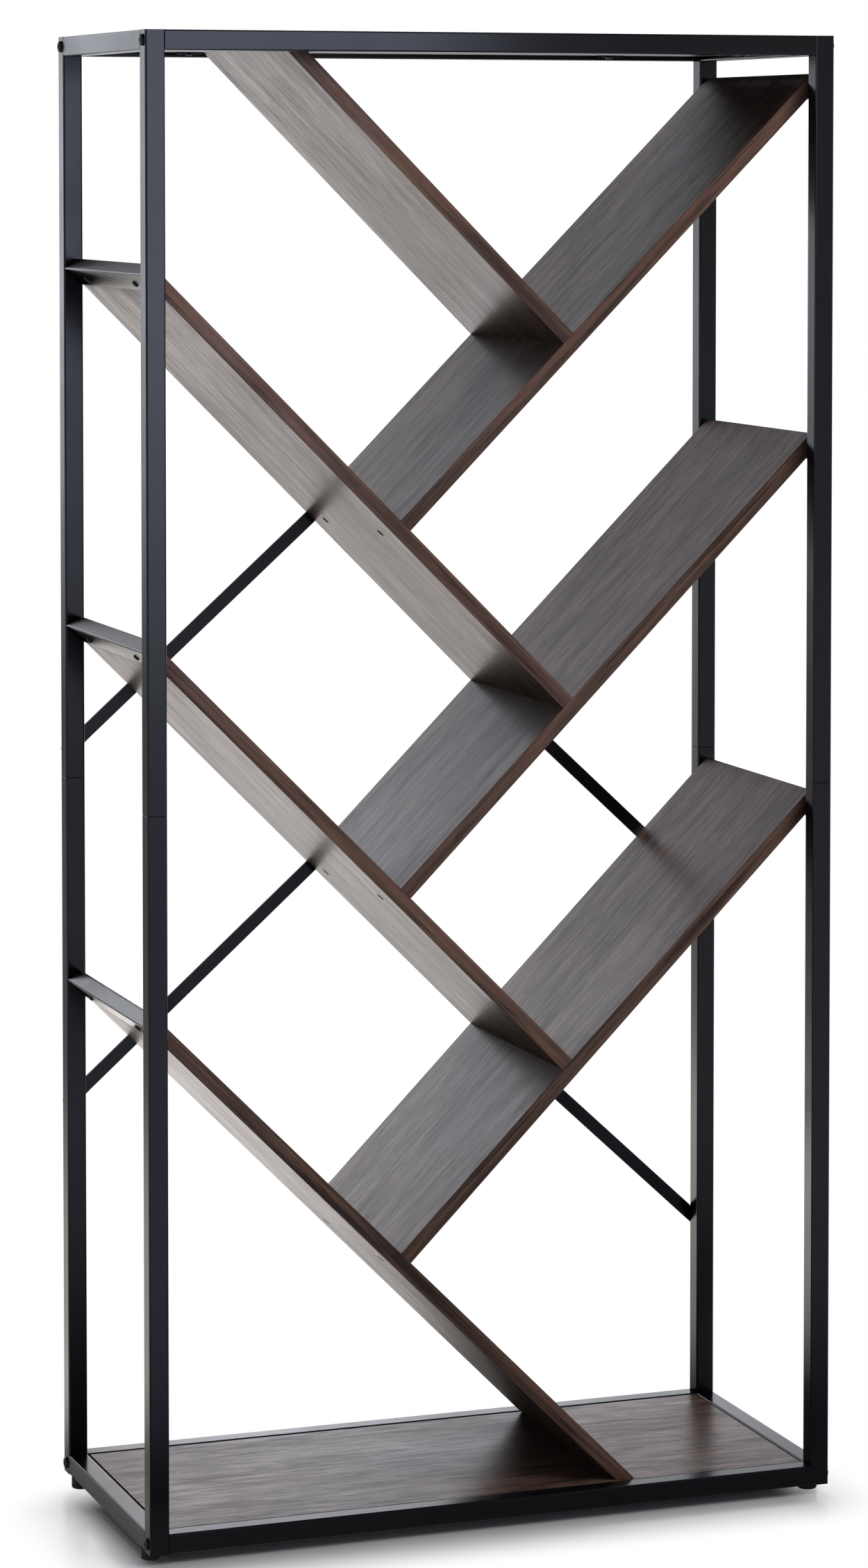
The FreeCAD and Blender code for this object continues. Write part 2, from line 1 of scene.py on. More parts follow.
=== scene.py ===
import bmesh
import bpy
import json
import math
import numpy as np
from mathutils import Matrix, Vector


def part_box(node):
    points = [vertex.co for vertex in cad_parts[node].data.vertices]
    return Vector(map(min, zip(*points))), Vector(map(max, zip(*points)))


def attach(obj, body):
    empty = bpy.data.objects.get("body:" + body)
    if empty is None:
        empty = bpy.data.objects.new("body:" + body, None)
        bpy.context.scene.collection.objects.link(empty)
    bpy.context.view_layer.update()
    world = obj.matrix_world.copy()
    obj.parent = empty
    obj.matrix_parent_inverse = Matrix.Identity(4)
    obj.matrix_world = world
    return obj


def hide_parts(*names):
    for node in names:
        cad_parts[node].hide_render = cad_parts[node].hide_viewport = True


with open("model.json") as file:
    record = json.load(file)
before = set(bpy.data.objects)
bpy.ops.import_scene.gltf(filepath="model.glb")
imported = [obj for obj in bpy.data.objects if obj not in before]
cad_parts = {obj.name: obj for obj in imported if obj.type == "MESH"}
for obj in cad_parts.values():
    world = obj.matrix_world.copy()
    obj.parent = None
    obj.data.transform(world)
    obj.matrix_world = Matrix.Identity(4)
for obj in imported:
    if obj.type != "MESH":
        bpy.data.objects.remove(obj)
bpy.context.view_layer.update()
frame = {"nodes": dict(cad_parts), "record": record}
nodes = frame["nodes"]
scene = bpy.context.scene
scene.view_settings.view_transform = "Standard"
print("frame loaded:", len(nodes), "nodes")


# node helpers

def addNode(tree, kind, inputs=None, **settings):
    item = tree.nodes.new(kind)
    for key, setting in settings.items():
        setattr(item, key, setting)
    for key, entry in (inputs or {}).items():
        if isinstance(entry, bpy.types.NodeSocket):
            tree.links.new(entry, item.inputs[key])
        else:
            item.inputs[key].default_value = entry
    return item


def sums(tree, operation, *entries):
    return addNode(tree, "ShaderNodeMath", dict(enumerate(entries)), operation=operation).outputs[0]


def spread(tree, entry, low, high, newLow=0.0, newHigh=1.0):
    ranges = {"Value": entry, "From Min": low, "From Max": high, "To Min": newLow, "To Max": newHigh}
    return addNode(tree, "ShaderNodeMapRange", ranges).outputs[0]


def smoothly(tree, entry, low, high, newLow, newHigh):
    item = spread(tree, entry, low, high, newLow, newHigh).node
    item.interpolation_type = "SMOOTHSTEP"
    return item.outputs[0]


def mixValue(tree, factor, first, second):
    return addNode(tree, "ShaderNodeMix", {0: factor, 2: first, 3: second}).outputs[0]


def mixColour(tree, factor, first, second):
    return addNode(tree, "ShaderNodeMix", {0: factor, 6: first, 7: second}, data_type="RGBA").outputs[2]


def stretched(tree, where, scale, detail, roughness, waviness=0.0):
    mapping = addNode(tree, "ShaderNodeMapping", {"Vector": where, "Scale": scale})
    noise = addNode(tree, "ShaderNodeTexNoise", {
        "Vector": mapping.outputs[0], "Scale": 1.0, "Detail": detail, "Roughness": roughness,
        "Distortion": waviness})
    return noise.outputs["Fac"]


def shaderGroup(name, inputs, outputs):
    group = bpy.data.node_groups.new(name, "ShaderNodeTree")
    for label, kind in inputs.items():
        group.interface.new_socket(label, in_out="INPUT", socket_type=kind)
    for label, kind in outputs.items():
        group.interface.new_socket(label, in_out="OUTPUT", socket_type=kind)
    return group, addNode(group, "NodeGroupInput").outputs, addNode(group, "NodeGroupOutput").inputs


def useGroup(tree, group, inputs):
    return addNode(tree, "ShaderNodeGroup", inputs, node_tree=group).outputs


# effects that several finishes share

number, vector = "NodeSocketFloat", "NodeSocketVector"

# wood figure: broad bands, fine streaks and short open pores, all drawn out along X
figureLook = {
    "bands": {"scale": (5, 26, 26), "detail": 4.0, "roughness": 0.62, "waviness": 0.8},
    "streaks": {"scale": (13, 115, 115), "detail": 5.0, "roughness": 0.7, "waviness": 0.5},
    "threads": {"scale": (36, 430, 430), "detail": 3.0, "roughness": 0.6},
    "middle": 0.5, "poreSpan": (0.54, 0.68), "streakRise": 0.5,
    "dullStreaks": (0.62, 0.36, 0.0, 0.4), "dullBands": (0.64, 0.36, 0.0, 0.45), "dullPores": 0.25,
}
woodFigure, figureIn, figureOut = shaderGroup(
    "woodFigure", {"Vector": vector, "Band": number, "Streak": number},
    {"Tone": number, "Pores": number, "Height": number, "Dull": number})


def figureNoise(name):
    return stretched(woodFigure, figureIn["Vector"], **figureLook[name])


def toneOf(noise, strength):
    offMiddle = sums(woodFigure, "SUBTRACT", noise, figureLook["middle"])
    return sums(woodFigure, "MULTIPLY", offMiddle, figureIn[strength])


bands, streaks, threads = figureNoise("bands"), figureNoise("streaks"), figureNoise("threads")
tone = sums(woodFigure, "ADD", toneOf(bands, "Band"), toneOf(streaks, "Streak"))
tone = sums(woodFigure, "ADD", tone, figureLook["middle"])
pores = spread(woodFigure, threads, *figureLook["poreSpan"])
height = sums(woodFigure, "SUBTRACT", sums(woodFigure, "MULTIPLY", streaks, figureLook["streakRise"]), pores)
dullStreaks = spread(woodFigure, streaks, *figureLook["dullStreaks"])
dullBands = spread(woodFigure, bands, *figureLook["dullBands"])
dullPores = sums(woodFigure, "MULTIPLY", pores, figureLook["dullPores"])
dull = sums(woodFigure, "ADD", sums(woodFigure, "ADD", dullStreaks, dullBands), dullPores)
woodFigure.links.new(addNode(woodFigure, "ShaderNodeClamp", {"Value": tone}).outputs[0], figureOut["Tone"])
woodFigure.links.new(pores, figureOut["Pores"])
woodFigure.links.new(height, figureOut["Height"])
woodFigure.links.new(dull, figureOut["Dull"])

# sprayed skin: the pebbled face of a powder coat or a moulding
skinLook = {"pebbles": {"scale": (1, 1, 1), "detail": 2.0, "roughness": 0.4},
            "patches": {"scale": (5, 5, 3), "detail": 3.0, "roughness": 0.6}}
sprayedSkin, skinIn, skinOut = shaderGroup(
    "sprayedSkin", {"Vector": vector, "Pebble": number}, {"Height": number, "Patch": number})
pebbleAt = addNode(sprayedSkin, "ShaderNodeVectorMath", {
    0: skinIn["Vector"], "Scale": skinIn["Pebble"]}, operation="SCALE").outputs[0]
sprayedSkin.links.new(stretched(sprayedSkin, pebbleAt, **skinLook["pebbles"]), skinOut["Height"])
sprayedSkin.links.new(stretched(sprayedSkin, skinIn["Vector"], **skinLook["patches"]), skinOut["Patch"])

# handling haze: faint dull patches from wiping and touching
hazeLook = {"smudges": {"scale": (7, 7, 7), "detail": 4.0, "roughness": 0.62}, "span": (0.42, 0.72)}
handlingHaze, hazeIn, hazeOut = shaderGroup("handlingHaze", {"Vector": vector}, {"Haze": number})
smudges = stretched(handlingHaze, hazeIn["Vector"], **hazeLook["smudges"])
handlingHaze.links.new(spread(handlingHaze, smudges, *hazeLook["span"]), hazeOut["Haze"])
print("shared effects built")


# finishes

def newFinish(name):
    finish = bpy.data.materials.new(name)
    finish.use_nodes = True
    tree = finish.node_tree
    shader = tree.nodes["Principled BSDF"]
    where = addNode(tree, "ShaderNodeTexCoord").outputs["Object"]
    return finish, tree, shader, where


def bumped(tree, shader, height, look):
    bump = addNode(tree, "ShaderNodeBump", {
        "Height": height, "Strength": look["relief"], "Distance": look["reach"]})
    tree.links.new(bump.outputs[0], shader.inputs["Normal"])


def roughened(tree, shader, dullness, look):
    tree.links.new(spread(tree, dullness, 0, 1, *look["roughness"]), shader.inputs["Roughness"])


def hazeOn(tree, where):
    return useGroup(tree, handlingHaze, {"Vector": where})["Haze"]


# colour and relief, the same way on boards and edge bands
def woodFace(tree, shader, along, look):
    figure = useGroup(tree, woodFigure, {"Vector": along, "Band": look["bands"], "Streak": look["streaks"]})
    face = mixColour(tree, figure["Tone"], look["dark"], look["light"])
    poreShare = sums(tree, "MULTIPLY", figure["Pores"], look["pores"])
    tree.links.new(mixColour(tree, poreShare, face, look["pore"]), shader.inputs["Base Color"])
    bumped(tree, shader, figure["Height"], look)
    return figure


boardLook = {
    "dark": (0.024, 0.0135, 0.0105, 1), "light": (0.16, 0.095, 0.076, 1), "pore": (0.012, 0.006, 0.005, 1),
    "roughness": (0.27, 0.46), "bands": 1.25, "streaks": 3.8, "pores": 0.8, "relief": 0.27, "reach": 0.0003,
    "hazeShare": 0.2, "figureShare": 0.8,
}


def boardFinish(name, turn):
    finish, tree, shader, where = newFinish(name)
    along = addNode(tree, "ShaderNodeMapping", {"Vector": where, "Rotation": (0, math.radians(turn), 0)})
    figure = woodFace(tree, shader, along.outputs[0], boardLook)
    hazed = sums(tree, "MULTIPLY", hazeOn(tree, where), boardLook["hazeShare"])
    figured = sums(tree, "MULTIPLY", figure["Dull"], boardLook["figureShare"])
    roughened(tree, shader, sums(tree, "ADD", hazed, figured), boardLook)
    return finish


# a turn about Y lays a sloping board's length along X, where the figure is drawn out
boardTurns = {"boardFallingRight": -45, "boardFallingLeft": 45, "boardFlat": 0}
boards = {name: boardFinish(name, turn) for name, turn in boardTurns.items()}
boardFinishes = {"down_board": boards["boardFallingRight"], "up_board": boards["boardFallingLeft"],
                 "base_board": boards["boardFlat"], "top_board": boards["boardFlat"]}

bandLook = {
    "dark": (0.03, 0.0145, 0.0095, 1), "light": (0.18, 0.095, 0.063, 1), "pore": (0.012, 0.007, 0.005, 1),
    "roughness": (0.5, 0.7), "bands": 0.8, "streaks": 3.2, "pores": 0.7, "relief": 0.35, "reach": 0.0003,
    "drawnOut": (0.3, 1, 1),
}


def bandFinish():
    finish, tree, shader, where = newFinish("edgeBand")
    measure = addNode(tree, "ShaderNodeAttribute", attribute_name="alongGrain").outputs["Vector"]
    along = addNode(tree, "ShaderNodeMapping", {"Vector": measure, "Scale": bandLook["drawnOut"]})
    woodFace(tree, shader, along.outputs[0], bandLook)
    roughened(tree, shader, hazeOn(tree, where), bandLook)
    return finish


coatLook = {
    "powderCoat": {
        "low": (0.003, 0.003, 0.0045, 1), "high": (0.005, 0.005, 0.0075, 1), "shine": 0.42, "metal": 0.0,
        "roughness": (0.19, 0.27), "pebble": 900, "relief": 0.07, "reach": 0.0002},
    "blackScrew": {
        "low": (0.004, 0.004, 0.005, 1), "high": (0.009, 0.009, 0.01, 1), "shine": 0.35, "metal": 0.0,
        "roughness": (0.36, 0.5), "pebble": 1600, "relief": 0.08, "reach": 0.0002},
    "mouldedPlastic": {
        "low": (0.01, 0.01, 0.011, 1), "high": (0.02, 0.02, 0.021, 1), "shine": 0.35, "metal": 0.0,
        "roughness": (0.45, 0.6), "pebble": 1400, "relief": 0.2, "reach": 0.0002},
    "zincSteel": {
        "low": (0.42, 0.43, 0.44, 1), "high": (0.62, 0.62, 0.61, 1), "shine": 0.5, "metal": 1.0,
        "roughness": (0.28, 0.42), "pebble": 700, "relief": 0.06, "reach": 0.0002},
}
patchSpan = (0.3, 0.7)


def coatFinish(name):
    look = coatLook[name]
    finish, tree, shader, where = newFinish(name)
    skin = useGroup(tree, sprayedSkin, {"Vector": where, "Pebble": look["pebble"]})
    patch = spread(tree, skin["Patch"], *patchSpan)
    tree.links.new(mixColour(tree, patch, look["low"], look["high"]), shader.inputs["Base Color"])
    roughened(tree, shader, hazeOn(tree, where), look)
    shader.inputs["Metallic"].default_value = look["metal"]
    shader.inputs["Specular IOR Level"].default_value = look["shine"]
    bumped(tree, shader, skin["Height"], look)
    return finish


coats = {name: coatFinish(name) for name in coatLook}
slotFinish = {"black_frame": coats["powderCoat"], "black_screw": coats["blackScrew"],
              "zinc_steel": coats["zincSteel"], "black_plastic": coats["mouldedPlastic"],
              "edge_band": bandFinish()}
for part in frame["record"]["subparts"]:
    finish = slotFinish.get(part["material_slot"])
    for start, wood in boardFinishes.items():
        if finish is None and part["node"].startswith(start):
            finish = wood
    for spot in nodes[part["node"]].material_slots:
        spot.material = finish


# edge bands: the solids with eased corners, each with its own measure along the grain

bandShape = {"ease": 0.0004, "steps": 2, "flatWithin": 1}
meshLook = {"mergeWithin": 1e-5, "crispFrom": 35}


def islandsOf(mesh):
    shape = bmesh.new()
    shape.from_mesh(mesh)
    bmesh.ops.remove_doubles(shape, verts=shape.verts, dist=meshLook["mergeWithin"])
    shape.verts.ensure_lookup_table()
    seen, islands = set(), []
    for start in shape.verts:
        if start in seen:
            continue
        seen.add(start)
        island, queue = [], [start]
        while queue:
            spot = queue.pop()
            island.append(spot)
            for edge in spot.link_edges:
                other = edge.other_vert(spot)
                if other not in seen:
                    seen.add(other)
                    queue.append(other)
        islands.append([spot.co.copy() for spot in island])
    return shape, islands


def plainMesh(piece):
    bpy.context.view_layer.update()
    result = bpy.data.meshes.new_from_object(piece.evaluated_get(bpy.context.evaluated_depsgraph_get()))
    piece.modifiers.clear()
    piece.data = result
    result.shade_smooth()
    result.set_sharp_from_angle(angle=math.radians(meshLook["crispFrom"]))


def newPiece(name, data):
    piece = bpy.data.objects.new(name, data)
    scene.collection.objects.link(piece)
    return piece


def leanOf(island):
    highest = max(island, key=lambda spot: spot.z)
    lowest = min(island, key=lambda spot: spot.z)
    return 1 if highest.x < lowest.x else -1


def offLine(spot, middle, lean):
    return abs(lean * (spot.x - middle.x) + spot.z - middle.z)


def easedBands(nodeName, name):
    shape, islands = islandsOf(nodes[nodeName].data)
    flatAngle = math.radians(bandShape["flatWithin"])
    bmesh.ops.dissolve_limit(shape, angle_limit=flatAngle, verts=shape.verts, edges=shape.edges)
    mesh = bpy.data.meshes.new(name)
    shape.to_mesh(mesh)
    shape.free()
    piece = newPiece(name, mesh)
    ease = piece.modifiers.new("ease", "BEVEL")
    ease.width, ease.segments, ease.limit_method = bandShape["ease"], bandShape["steps"], "ANGLE"
    plainMesh(piece)
    middles = [(sum(island, Vector()) / len(island), leanOf(island)) for island in islands]
    measure = piece.data.attributes.new("alongGrain", "FLOAT_VECTOR", "POINT")
    for spot in piece.data.vertices:
        middle, lean = min(middles, key=lambda band: offLine(spot.co, *band))
        fromMiddle = spot.co - middle
        measure.data[spot.index].vector = (  # along and across a 45-degree band, shifted by its own place
            (lean * fromMiddle.x - fromMiddle.z) / math.sqrt(2) + middle.z, spot.co.y,
            (lean * fromMiddle.x + fromMiddle.z) / math.sqrt(2) + middle.x)
    piece.data.materials.clear()
    piece.data.materials.append(slotFinish["edge_band"])
    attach(piece, "frame")
    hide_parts(nodeName)
    return piece


bandPieces = [easedBands(f"{end}_edge_bands", f"{end}EdgeBands") for end in ("front", "rear")]
print("edge bands:", [len(piece.data.polygons) for piece in bandPieces], "faces")


# what the trees of repeated pieces share: named sizes in, one plain mesh with its finish out

def newTree(name, sizes):
    tree = bpy.data.node_groups.new(name, "GeometryNodeTree")
    tree.interface.new_socket("Geometry", in_out="INPUT", socket_type="NodeSocketGeometry")
    for size in sizes:
        tree.interface.new_socket(size, in_out="INPUT", socket_type="NodeSocketFloat")
    tree.interface.new_socket("finish", in_out="INPUT", socket_type="NodeSocketMaterial")
    tree.interface.new_socket("Geometry", in_out="OUTPUT", socket_type="NodeSocketGeometry")
    return tree, addNode(tree, "NodeGroupInput").outputs


def endTree(tree, given, places):
    real = addNode(tree, "GeometryNodeRealizeInstances", {"Geometry": places.outputs[0]})
    finished = addNode(tree, "GeometryNodeSetMaterial", {
        "Geometry": real.outputs[0], "Material": given["finish"]})
    addNode(tree, "NodeGroupOutput", {"Geometry": finished.outputs[0]})


def setModifier(piece, tree, values):
    change = piece.modifiers.new(tree.name, "NODES")
    change.node_group = tree
    for entry in tree.interface.items_tree:
        if entry.in_out == "INPUT" and entry.name in values:
            change[entry.identifier] = values[entry.name]


# screws and bolts: one turned shape with a driver recess, set on the seat of each solid

panHead = {"form": "pan", "head": 0.004, "rise": 0.0018, "shank": 0.002,
           "drive": 0.0044, "depth": 0.0011}
sunkHead = {"form": "sunk", "head": 0.005, "rise": 0.00275, "shank": 0.00225,
            "drive": 0.0044, "depth": 0.0011}
socketHead = {"form": "socket", "head": 0.0065, "rise": 0.003, "shank": 0.003,
              "drive": 0.004, "depth": 0.0016}
screwSizes = {
    "corner_bolts": {**socketHead, "length": 0.034},
    "bracket_screws": {**panHead, "length": 0.014},
    "brace_screws": {**panHead, "length": 0.011},
    "tab_screws": {**panHead, "length": 0.012},
    "joint_screws": {**sunkHead, "length": 0.05},
    "end_screws": {**sunkHead, "length": 0.025},
}
# each corner of the turned outline: share of a radius, which radius, share of a height, which height
headOutlines = {
    "pan": [(0, "shank", -1, "length"), (0.55, "shank", -1, "length"), (1, "shank", -0.92, "length"),
            (1, "shank", 0, "rise"), (1, "head", 0, "rise"), (1, "head", 0.3, "rise"),
            (0.94, "head", 0.6, "rise"), (0.8, "head", 0.85, "rise"), (0.6, "head", 0.97, "rise"),
            (0, "head", 1, "rise")],
    "sunk": [(0, "shank", -1, "length"), (1, "shank", -0.95, "length"), (1, "shank", -1, "rise"),
             (0.96, "head", -0.05, "rise"), (0.92, "head", 0, "rise"), (0, "head", 0, "rise")],
}
headOutlines["socket"] = headOutlines["pan"]
screwMesh = {"around": 24, "axle": 1e-6, "mergeWithin": 1e-5, "hexCorner": 0.5774, "slotWidth": 0.23,
             "slotDepths": (1.0, 0.96), "rimFrom": 0.97}


def turnedBlank(tree, given, outline):
    pick = addNode(tree, "GeometryNodeIndexSwitch", data_type="VECTOR")
    while len(pick.index_switch_items) < len(outline):
        pick.index_switch_items.new()
    tree.links.new(addNode(tree, "GeometryNodeInputIndex").outputs[0], pick.inputs["Index"])
    for index, (wide, radius, high, rise) in enumerate(outline):
        corner = addNode(tree, "ShaderNodeCombineXYZ", {
            "X": sums(tree, "MULTIPLY", given[radius], wide),
            "Y": sums(tree, "MULTIPLY", given[rise], -high)})
        tree.links.new(corner.outputs[0], pick.inputs[str(index)])
    strip = addNode(tree, "GeometryNodeMeshLine", {"Count": len(outline)})
    shaped = addNode(tree, "GeometryNodeSetPosition", {
        "Geometry": strip.outputs[0], "Position": pick.outputs[0]})
    profile = addNode(tree, "GeometryNodeMeshToCurve", {"Mesh": shaped.outputs[0]})
    axle = addNode(tree, "GeometryNodeCurvePrimitiveCircle", {
        "Resolution": screwMesh["around"], "Radius": screwMesh["axle"]})
    turned = addNode(tree, "GeometryNodeCurveToMesh", {
        "Curve": axle.outputs[0], "Profile Curve": profile.outputs[0]})
    merged = addNode(tree, "GeometryNodeMergeByDistance", {
        "Geometry": turned.outputs[0], "Distance": screwMesh["mergeWithin"]})
    return addNode(tree, "GeometryNodeFlipFaces", {"Mesh": merged.outputs[0]}).outputs[0]


def driverCuts(tree, given, form):
    cutHeight = sums(tree, "MULTIPLY", given["depth"], 2.0)  # half of a cut stands above the head
    if form == "socket":
        key = addNode(tree, "GeometryNodeMeshCylinder", {
            "Vertices": 6, "Radius": sums(tree, "MULTIPLY", given["drive"], screwMesh["hexCorner"]),
            "Depth": cutHeight})
        return [key.outputs["Mesh"]]
    cuts = []
    slotWidth = sums(tree, "MULTIPLY", given["drive"], screwMesh["slotWidth"])
    for length, width, share in zip("XY", "YX", screwMesh["slotDepths"]):  # floors kept out of one plane
        box = addNode(tree, "ShaderNodeCombineXYZ", {
            length: given["drive"], width: slotWidth, "Z": sums(tree, "MULTIPLY", cutHeight, share)})
        cuts.append(addNode(tree, "GeometryNodeMeshCube", {"Size": box.outputs[0]}).outputs["Mesh"])
    return cuts


def screwTree(form):
    tree, given = newTree(f"{form}Screws", ("head", "rise", "shank", "length", "drive", "depth"))
    solid = turnedBlank(tree, given, headOutlines[form])
    crown = 0.0 if form == "sunk" else given["rise"]
    for cut in driverCuts(tree, given, form):
        lift = addNode(tree, "ShaderNodeCombineXYZ", {"Z": crown})
        raised = addNode(tree, "GeometryNodeTransform", {"Geometry": cut, "Translation": lift.outputs[0]})
        solid = addNode(tree, "GeometryNodeMeshBoolean", {
            "Mesh 1": solid, "Mesh 2": raised.outputs[0]}, operation="DIFFERENCE").outputs["Mesh"]
    facing = addNode(tree, "GeometryNodeInputNamedAttribute", {"Name": "facing"}, data_type="FLOAT_VECTOR")
    aim = addNode(tree, "FunctionNodeAlignRotationToVector", {"Vector": facing.outputs[0]}, axis="Z")
    places = addNode(tree, "GeometryNodeInstanceOnPoints", {
        "Points": given["Geometry"], "Instance": solid, "Rotation": aim.outputs[0]})
    endTree(tree, given, places)
    return tree


# the head's underside and the way it faces, from the widest ring of a solid
def seatOf(island):
    spots = np.array(island)
    axis = np.linalg.svd(spots - spots.mean(0), full_matrices=False)[2][0]
    centre = (spots.max(0) + spots.min(0)) / 2
    along = (spots - centre) @ axis
    off = np.linalg.norm(spots - centre - np.outer(along, axis), axis=1)
    rim = along[off > screwMesh["rimFrom"] * off.max()]
    if rim.mean() < 0:
        axis, rim = -axis, -rim
    return centre + axis * rim.min(), axis


screwTrees = {form: screwTree(form) for form in headOutlines}
for group, sizes in screwSizes.items():
    shape, islands = islandsOf(nodes[group].data)
    shape.free()
    seats = [seatOf(island) for island in islands]
    mesh = bpy.data.meshes.new(group)
    mesh.from_pydata([tuple(seat) for seat, axis in seats], [], [])
    facing = mesh.attributes.new("facing", "FLOAT_VECTOR", "POINT")
    for index, (seat, axis) in enumerate(seats):
        facing.data[index].vector = axis
    words = group.split("_")
    piece = newPiece(words[0] + words[1].capitalize(), mesh)
    setModifier(piece, screwTrees[sizes["form"]], {**sizes, "finish": coats["blackScrew"]})
    plainMesh(piece)
    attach(piece, "frame")
    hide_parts(group)
    print(piece.name, len(seats), "placed,", len(piece.data.polygons), "faces")


# foot studs: a flange and a right-hand thread that follows the travel of the foot

studShape = {"core": 0.0034, "crest": 0.004, "pitch": 0.00125, "flange": 0.0065, "flangeTop": 0.0071,
             "bottom": 0.0041, "top": 0.03, "tip": 0.003}
studRows = {"around": 32, "perTurn": 8}


def studTree():
    tree, given = newTree("threadedStud", studShape)
    turns = (studShape["top"] - studShape["bottom"]) / studShape["pitch"]
    blank = addNode(tree, "GeometryNodeMeshCylinder", {
        "Vertices": studRows["around"], "Side Segments": round(turns * studRows["perTurn"]), "Radius": 1.0,
        "Depth": sums(tree, "SUBTRACT", given["top"], given["bottom"])})
    position = addNode(tree, "GeometryNodeInputPosition").outputs[0]
    at = addNode(tree, "ShaderNodeSeparateXYZ", {0: position}).outputs
    middle = sums(tree, "MULTIPLY", sums(tree, "ADD", given["top"], given["bottom"]), 0.5)
    height = sums(tree, "ADD", at["Z"], middle)
    angle = sums(tree, "DIVIDE", sums(tree, "ARCTAN2", at["Y"], at["X"]), 2 * math.pi)
    turn = sums(tree, "SUBTRACT", sums(tree, "DIVIDE", height, given["pitch"]), angle)
    ridge = sums(tree, "MULTIPLY", sums(tree, "PINGPONG", turn, 0.5), 2.0)
    ridgeHeight = sums(tree, "SUBTRACT", given["crest"], given["core"])
    thread = sums(tree, "MULTIPLY_ADD", ridge, ridgeHeight, given["core"])
    leadIn = sums(tree, "ADD", given["tip"], sums(tree, "SUBTRACT", given["top"], height))
    thread = sums(tree, "MINIMUM", thread, leadIn)
    low = sums(tree, "LESS_THAN", height, given["flangeTop"])
    radius = sums(tree, "MULTIPLY_ADD", low, sums(tree, "SUBTRACT", given["flange"], thread), thread)
    spot = addNode(tree, "ShaderNodeCombineXYZ", {
        "X": sums(tree, "MULTIPLY", at["X"], radius), "Y": sums(tree, "MULTIPLY", at["Y"], radius),
        "Z": height})
    shaped = addNode(tree, "GeometryNodeSetPosition", {
        "Geometry": blank.outputs["Mesh"], "Position": spot.outputs[0]})
    places = addNode(tree, "GeometryNodeInstanceOnPoints", {
        "Points": given["Geometry"], "Instance": shaped.outputs[0]})
    endTree(tree, given, places)
    return tree


threadedStud = studTree()
for corner in ("front_left", "front_right", "rear_left", "rear_right"):
    low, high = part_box(f"{corner}_foot_stud")
    end, hand = corner.split("_")
    mesh = bpy.data.meshes.new(f"{corner}_foot_stud")
    mesh.from_pydata([((low[0] + high[0]) / 2, (low[1] + high[1]) / 2, 0)], [], [])
    piece = newPiece(f"{end}{hand.capitalize()}Stud", mesh)
    setModifier(piece, threadedStud, {**studShape, "finish": coats["zincSteel"]})
    plainMesh(piece)
    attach(piece, f"{corner}_stud")
    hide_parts(f"{corner}_foot_stud")
    print(piece.name, len(piece.data.polygons), "faces")


# stage: floor, cards that only polished faces mirror, world, lamps and camera

# painted light: floor and rear card are painted brighter on the left in a mirror, and a second reflection
# is painted dim, which paints shade into corners where faces mirror each other
mirrorLook = {"second": 0.02, "left": 1.5, "middle": 0.78, "from": -0.3, "to": 0.18}


# painted highlight: reflections of the floor and rear card made brighter on the left
def brighterLeft(tree, across):
    look = mirrorLook
    return smoothly(tree, across, look["from"], look["to"], look["left"], look["middle"])


# painted shade: every glow seen in a second reflection is turned down
def firstMirror(tree, path):
    return spread(tree, path["Glossy Depth"], 1, 2, 1.0, mirrorLook["second"])


def glowOf(tree, path, level, tint):
    strength = sums(tree, "MULTIPLY", level, firstMirror(tree, path))
    return addNode(tree, "ShaderNodeEmission", {"Color": tint, "Strength": strength}).outputs[0]


def seenStraight(tree, path):
    return sums(tree, "MAXIMUM", path["Is Camera Ray"], path["Is Transmission Ray"])


def quad(name, corners):
    mesh = bpy.data.meshes.new(name)
    mesh.from_pydata(corners, [], [(0, 1, 2, 3)])
    piece = newPiece(name, mesh)
    finish, tree, shader, where = newFinish(name)
    mesh.materials.append(finish)
    return piece, tree, shader, where


def awayFrom(tree, where, middle, half):
    side = addNode(tree, "ShaderNodeVectorMath", {0: where, 1: middle}, operation="SUBTRACT").outputs[0]
    side = addNode(tree, "ShaderNodeVectorMath", {0: side}, operation="ABSOLUTE").outputs[0]
    outside = addNode(tree, "ShaderNodeVectorMath", {0: side, 1: half}, operation="SUBTRACT").outputs[0]
    beyond = addNode(tree, "ShaderNodeVectorMath", {0: outside, 1: (0, 0, 0)}, operation="MAXIMUM").outputs[0]
    return addNode(tree, "ShaderNodeVectorMath", {0: beyond}, operation="LENGTH").outputs["Value"]


# the floor keeps the unit's shadow inside "shade" and turns white outside it
stageLook = {"colour": (0.72, 0.725, 0.74, 1), "roughness": 0.2, "half": 40, "below": 0.0003,
             "shade": (0.36, 0.1, 0), "shadeAt": (-0.02, -0.06, 0), "whiteTo": 0.13}
# painted reflection: polished faces see a painted glow in the floor, bright behind the unit, dim in front of
# it, painted dark close around the unit as its shadow, a stripe along its left side and low light far out on
# the left
floorMirror = {"foot": (0.4, 0.175, 0), "near": 0.15, "far": 1.4, "from": 0.02, "to": 0.5,
               "rear": (1, 0.95, 0.92, 1), "front": (0.82, 0.84, 1, 1), "dimFrom": -0.4, "dimTo": -0.15,
               "frontNear": 0.03, "frontFar": 0.55, "farFrom": -0.3, "farTo": -1.3,
               "stripe": 0.5, "stripeAt": -0.46, "stripeHalf": 0.1, "outFrom": -0.4, "outTo": -0.62,
               "outNear": 0.52, "outFar": 0.12, "outStart": 1.2, "outEnd": 2.6}
